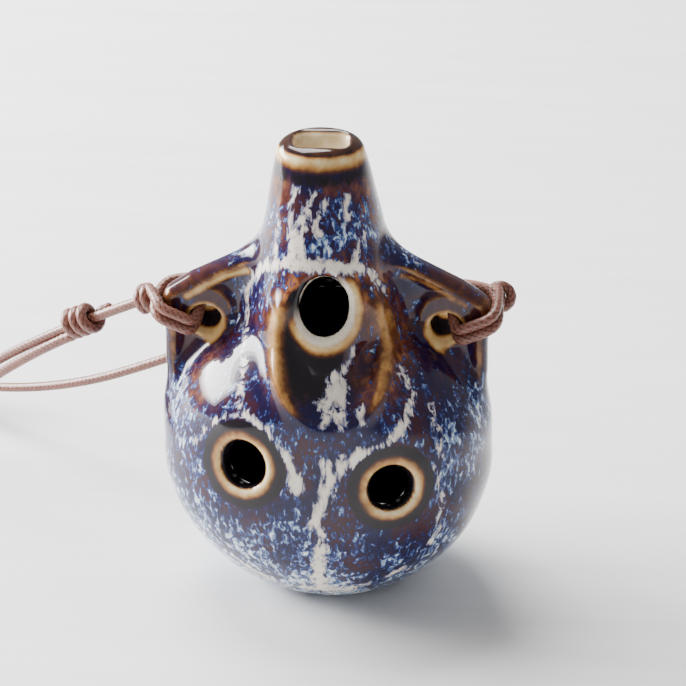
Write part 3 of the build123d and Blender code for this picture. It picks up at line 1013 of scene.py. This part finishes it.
def make_glaze():
    """Dark glaze that breaks to honey where it is thin, with blue flecks and runs of cream over it."""
    make = Shader("dripped_glaze")
    millimetres = make.place((1000, 1000, 1000))
    streaks = make.place((1000, 1000, 520))
    drip, thin, plain_dark_and_hole_shade, flecked = (make.attribute(name) for name in ("drip", "thin", "plain_dark_and_hole_shade", "flecked"))

    def about_zero(*noise_settings):
        return make.math("SUBTRACT", make.noise(*noise_settings), 0.5)

    # The dark ground, rusty where "warm" says and plain near the holes; the same near-black also serves as
    # painted shade inside the holes and the body
    ragged = about_zero(streaks, 0.55, 3.0, 0.55, 1.2)
    fine = about_zero(streaks, 1.5, 3.0, 0.62, 0.6)
    clouds = make.noise(millimetres, 0.16, 2.0, 0.5)
    plain = make.between(make.math("MULTIPLY_ADD", ragged, 0.9, plain_dark_and_hole_shade), 0.36, 0.64)
    dark = make.mix(make.between(clouds, 0.42, 0.60), (0.006, 0.004, 0.036), (0.036, 0.009, 0.017))
    rust = make.ramp(make.noise(streaks, 0.7, 3.0, 0.6, 0.4), RUST)
    dark = make.mix(make.attribute("warm"), dark, rust)
    # Near-black glaze, which is also painted shade inside the holes and the body
    dark = make.mix(plain, dark, (0.009, 0.006, 0.009))

    # Blue flecks
    fleck = make.math("MULTIPLY_ADD", fine, 2.1, make.math("MULTIPLY", flecked, 0.66))
    fleck = make.math("MULTIPLY_ADD", ragged, 1.0, fleck)
    fleck = make.math("MULTIPLY_ADD", plain, -0.7, fleck)
    fleck = make.math("MULTIPLY_ADD", about_zero(millimetres, 0.21, 2.0, 0.5), 0.9, fleck)
    colour = make.mix(make.between(fleck, 0.24, 0.48), dark, make.ramp(fleck, BLUE))

    # Runs of cream
    filaments = make.place((1000, 1000, 330))
    run = make.math("MULTIPLY_ADD", about_zero(filaments, 0.95, 4.0, 0.62, 1.0), 1.55, drip)
    run = make.math("MULTIPLY_ADD", ragged, 0.75, run)
    colour = make.mix(make.between(run, 0.42, 0.58), colour, make.ramp(run, CREAM))

    # Honey where the glaze is thin, and bare clay
    uneven = about_zero(millimetres, 0.7, 3.0)
    honey = make.ramp(make.math("MULTIPLY_ADD", uneven, 0.55, thin), HONEY)
    colour = make.mix(make.between(thin, 0.04, 0.36), colour, honey)
    clay_grain = make.mix(make.noise(millimetres, 2.4, 3.0), (0.66, 0.57, 0.44), (0.82, 0.76, 0.66))
    colour = make.mix(make.attribute("bare"), colour, clay_grain)
    height = make.between(make.math("MAXIMUM", run, make.math("MINIMUM", fleck, 0.6)), 0.40, 0.72)
    return make.finish(
        Base_Color=colour,
        Roughness=0.22,
        IOR=1.5,
        Specular_IOR_Level=0.05,
        Coat_Weight=0.68,
        Coat_Roughness=0.03,
        Coat_IOR=1.46,
        Normal=make.bump(height, 0.4, 0.0002),
    )


GLAZE = make_glaze()


def on_the_skin(x, z, side):
    """Points of the clay's outside at x and z."""
    y, _, _ = pear_at(x, z, side)
    return np.stack([x, y - thumb_side_relief(x, y, z), z], 1)


RUN_EDGE = 0.57  # the mask's value at a run's edge
RUN_FALL = 0.42  # how much it falls in 1 mm
RUN_POINTS = 20  # on the skin, for each point of a run
RUN_STEP = 0.3  # along a run


def run_mask(points, runs, side):
    """How thick the pale glaze is, from 0 to 1."""
    mask = np.zeros(len(points))
    chosen = np.flatnonzero(side * points[:, 1] > 1.0)
    near_side = points[chosen]
    for run in runs:
        stations = np.array(run)
        coarse = np.linspace(0.0, len(run) - 1, RUN_POINTS * len(run))
        x, z, half_width = (np.interp(coarse, np.arange(len(run)), stations[:, k]) for k in range(3))
        line = on_the_skin(x, z, side)
        along = travelled(line)
        for step in np.arange(0.0, along[-1], RUN_STEP):
            place = np.array([np.interp(step, along, line[:, axis]) for axis in range(3)])
            reach = np.interp(step, along, half_width)
            near = np.flatnonzero(np.abs(near_side - place).max(1) < reach + 1.5)
            away = np.linalg.norm(near_side[near] - place, axis=1) - reach
            found = np.clip(RUN_EDGE - RUN_FALL * away, 0.0, 1.0)
            mask[chosen[near]] = np.maximum(mask[chosen[near]], found)
    return mask


def convexity(points, step=0.45):
    """The surface's total bend at each point, in 1/mm, positive where it bulges outwards."""
    total = -6 * clay(*points.T)
    for axis in range(3):
        shift = np.zeros(3)
        shift[axis] = step
        total = total + clay(*(points + shift).T) + clay(*(points - shift).T)
    return total / step**2


HALO = 3.0  # width of the plain dark glaze round a tone hole
LUG_GLOW = [(10.4, 47.0), (13.5, 45.8), (16.2, 44.4), (18.6, 42.9)]  # thin glaze under a lug's top edge
LIP_Z = 63.9  # the band of thin glaze round the mouth


def hole_masks(x, y, z):
    """Thin rings of the holes, made lighter towards their lower right as painted light, painted shade on each
    hole's wall, and plain dark halos round the tone holes.
    """
    rings, painted_wall_shade, halos = np.zeros((3, len(x)))
    for start, axis, radius in TONE_HOLES:
        _, away, along = round_hole(x, y, z, start, axis, radius, TONE_HOLE_DEPTH)
        near = along > -4.0
        beyond = away - radius
        # Painted light: each hole's thin glaze ring is made lighter towards its lower right
        painted_lit_share = 0.70 + 0.28 * grow(x - start[0] - z + start[2], -3.0, 4.0)
        rings = np.maximum(rings, painted_lit_share * near * fade(beyond, 0.5, 2.4))
        # Painted shade: near-black glaze on each hole's wall
        painted_wall_shade = np.maximum(painted_wall_shade, near * fade(beyond, 0.26, 0.54))
        halos = np.maximum(halos, near * fade(beyond, HALO - 0.7, HALO + 0.9))
    for side in (-1, 1):
        round_it = fade(lug_hole(x, y, z, side), 0.2, 1.5)
        rings = np.maximum(rings, 0.7 * round_it * fade(np.abs(y + 0.5), 2.5, 3.3))
    return rings, painted_wall_shade, halos


def window_masks(x, y, z, skin):
    """The bevel's bare crescent, the thin glaze outside it and the distance from the window."""
    beside, up, _ = window_place(x, y, z)
    hole = window(x, y, z, -skin)
    lower = grow(0.8 * beside - up, -3.0, 0.5) * (y < 0) * (np.abs(up) < 9)
    by_window = grow(z, 36.0, 37.0) * fade(z, 50.0, 51.0) * lower
    crescent = grow(-hole, -0.30, -0.10) * by_window * fade(-skin, 0.6, 1.0)
    return crescent, 0.75 * bell(hole - 0.4, 0.6) * by_window, hole


def edge_mask(points, lugs, hole):
    """Thin glaze where the surface bulges most, away from the foot and the window."""
    _, y, z = points.T
    edges = grow(convexity(points), 0.15, 1.1) * grow(z, 5.0, 8.0)
    edges = edges * grow(hole, 2.2, 4.0)
    return edges * np.where(lugs > 0.1, 0.34 + 0.2 * front_share(y), 0.45)


def fleck_mask(x, y, z, lugs, ramp_share):
    """How many blue flecks there are."""
    front = front_share(y)
    # More of them downwards, on the neck's front and on the belly's sides
    flecked = 0.40 + 0.55 * fade(z, 3.0, 24.0) + 0.15 * fade(z, 5.0, 11.0)
    flecked += 0.38 * bell(z - 54.5, 4.0) * bell(x - 0.5, 4.0)
    flecked += 0.22 * grow(np.abs(x), 12.0, 18.0) * fade(z, 31.0, 35.0)
    # Fewer by the mouth, by the ramp, low on the right and on the finger side
    flecked -= 0.5 * grow(z, 58.0, 60.0)
    flecked -= 0.22 * grow(x, 5.0, 8.0) * bell(z - 44.0, 9.0) * front
    flecked -= 0.15 * grow(-x, 12.0, 15.0) * bell(z - 38.0, 5.0) * front
    flecked -= 0.30 * grow(x, 4.0, 8.0) * fade(z, 16.0, 22.0) * front
    flecked -= 0.15 * grow(y, 0.0, 6.0)
    return np.clip(flecked * (1 - 0.9 * ramp_share) * (1 - 0.75 * lugs), 0, 1)


def warm_mask(points, edge, lugs):
    """Rust: two clouds, the neck's sides, round the ramp, below the mouth and faintly on the lugs."""
    x, y, z = points.T
    by_ramp = bell(edge, 2.0 + 0.8 * grow(x, 0.0, 3.0)) * grow(z, 33.0, 38.0)
    patches = [
        bell(np.linalg.norm(points - (8.4, -12.5, 35.8), axis=1), 2.9),
        0.75 * bell(np.linalg.norm(points - (-17.5, -8.0, 33.0), axis=1), 4.5),
        0.7 * bell(np.abs(x) - 6.0, 1.7) * grow(z, 50.0, 55.0) * fade(z, 60.5, 62.5),
        0.9 * by_ramp * front_share(y),
        0.5 * bell(z - 60.3, 0.9) * grow(x, -1.5, 1.0),
        0.1 * lugs,
    ]
    return np.maximum.reduce(patches)


def glaze_masks(points):
    """What the glaze's material reads at each vertex, each from 0 to 1."""
    x, y, z = points.T
    skin = outside(x, y, z)
    front = front_share(y)
    mouth = grow(z, 64.2, 64.6)
    foot = fade(z, 0.15, 0.5)
    lugs = grow(np.abs(x), 12.0, 14.5) * grow(z, 31.0, 35.0)
    in_windway = grow(-windway(x, y, z), -0.30, -0.05)
    rings, painted_wall_shade, halos = hole_masks(x, y, z)
    crescent, lip, hole = window_masks(x, y, z, skin)
    # Painted shade: points more than about 1 mm under the outside, and each hole's wall, get only the
    # near-black glaze
    unshaded_share = 1 - np.maximum(grow(-skin, 0.8, 1.5) * (z > 2.0), painted_wall_shade)

    edge = ramp_edge(x, z)
    ramp_share = front * grow(-edge, -0.4, 1.0) * (1 - 0.8 * grow(x, 2.0, 4.5))
    ridge = front * bell(edge, 1.25) * grow(z, 32.0, 38.0) * fade(z, 44.5, 47.5)
    ridge = ridge * (0.62 - 0.14 * grow(x, 0.0, 3.0))
    glow = bell(line_distance(np.abs(x), z, LUG_GLOW), 0.6) * (np.abs(y) > 1.5)
    glow = glow * (0.60 - 0.18 * np.sign(x))
    lip_band = 0.82 * bell(z - LIP_Z, np.where(z > LIP_Z, 0.6, 1.2))
    edges = edge_mask(points, lugs, hole) * (1 - mouth)
    thin = np.maximum.reduce([rings, ridge, lip, glow, lip_band, edges]) * unshaded_share * (1 - mouth)
    bare_windway = in_windway * (1 - 0.75 * grow(z, 61.0, 64.0))
    runs = np.maximum(run_mask(points, THUMB_SIDE_RUNS, -1), run_mask(points, FINGER_SIDE_RUNS, 1))
    by_mouth = np.maximum(0.8 * mouth, 0.6 * bell(z - 61.6, 1.5))
    return {
        "thin": np.maximum.reduce([thin, 0.2 * mouth, 0.85 * in_windway]),
        "bare": np.maximum.reduce([crescent, bare_windway, foot]),
        "drip": runs * unshaded_share * (1 - halos) * (1 - crescent),
        "flecked": fleck_mask(x, y, z, lugs, ramp_share) * unshaded_share,
        "warm": warm_mask(points, edge, lugs) * unshaded_share * (1 - halos),
        # Plain dark glaze round the holes, below the mouth and in the ramp, with painted shade inside the
        # holes and the body
        "plain_dark_and_hole_shade": np.maximum.reduce([halos, 1 - unshaded_share, by_mouth, 0.9 * ramp_share * grow(z, 32.0, 37.0)]),
    }


def make_body():
    points, quads, normals = clay_surface()
    body = mesh_object("glazed_body", points * MM, quads.tolist(), GLAZE)
    for name, values in glaze_masks(points).items():
        float_attribute(body.data, name, values)
    body.data.normals_split_custom_set_from_vertices(normals.tolist())
    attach(body, "ocarina")
    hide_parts("thumb_side_shell", "finger_side_shell", "mouthpiece", "left_lug", "right_lug")


make_body()


# ---- Floor and light ----
FLOOR_HALF = 3.0


def make_floor():
    make = Shader("pale_floor")
    grain = make.noise(make.place((1.0, 14.0, 1.0)), 9.0, 4.0)
    colour = make.mix(make.between(grain, 0.3, 0.7), (0.84, 0.836, 0.832), (0.89, 0.887, 0.884))
    material = make.finish(Base_Color=colour, Roughness=0.9, Specular_IOR_Level=0.1)
    corners = [(u * FLOOR_HALF, v * FLOOR_HALF, 0) for u, v in ((-1, -1), (1, -1), (1, 1), (-1, 1))]
    floor = mesh_object("floor", corners, [(0, 1, 2, 3)], material)


LIGHTS_AIM = Vector((0, 0, 0.03))
KEY_SIZE = (0.58, 0.27)
KEY_POWER = 20.0
SKY_SIZE = 0.5
SKY_POWER = 16.0
WORLD_STRENGTH = 0.45


def area_light(name, place, width, height, power):
    data = bpy.data.lights.new(name, "AREA")
    data.shape = "RECTANGLE"
    data.size = width
    data.size_y = height
    data.energy = power
    light = new_object(name, data)
    light.location = place
    light.rotation_euler = (Vector(place) - LIGHTS_AIM).to_track_quat("Z", "Y").to_euler()


def make_lights():
    world = bpy.context.scene.world or bpy.data.worlds.new("world")
    bpy.context.scene.world = world
    world.use_nodes = True
    background = world.node_tree.nodes["Background"]
    background.inputs["Color"].default_value = (1.0, 1.0, 1.0, 1.0)
    background.inputs["Strength"].default_value = WORLD_STRENGTH
    # A window on the left that fades at its edges: shares of its power and size in three layers
    for share, spread in ((0.35, 1.0), (0.35, 0.84), (0.30, 0.66)):
        place = (-0.58 - 0.01 * spread, 0.20, 0.24)
        width, height = (spread * size for size in KEY_SIZE)
        area_light("window_light", place, width, height, KEY_POWER * share)
    area_light("sky_light", (-0.25, 0.45, 0.85), SKY_SIZE, SKY_SIZE, SKY_POWER)


make_floor()
make_lights()
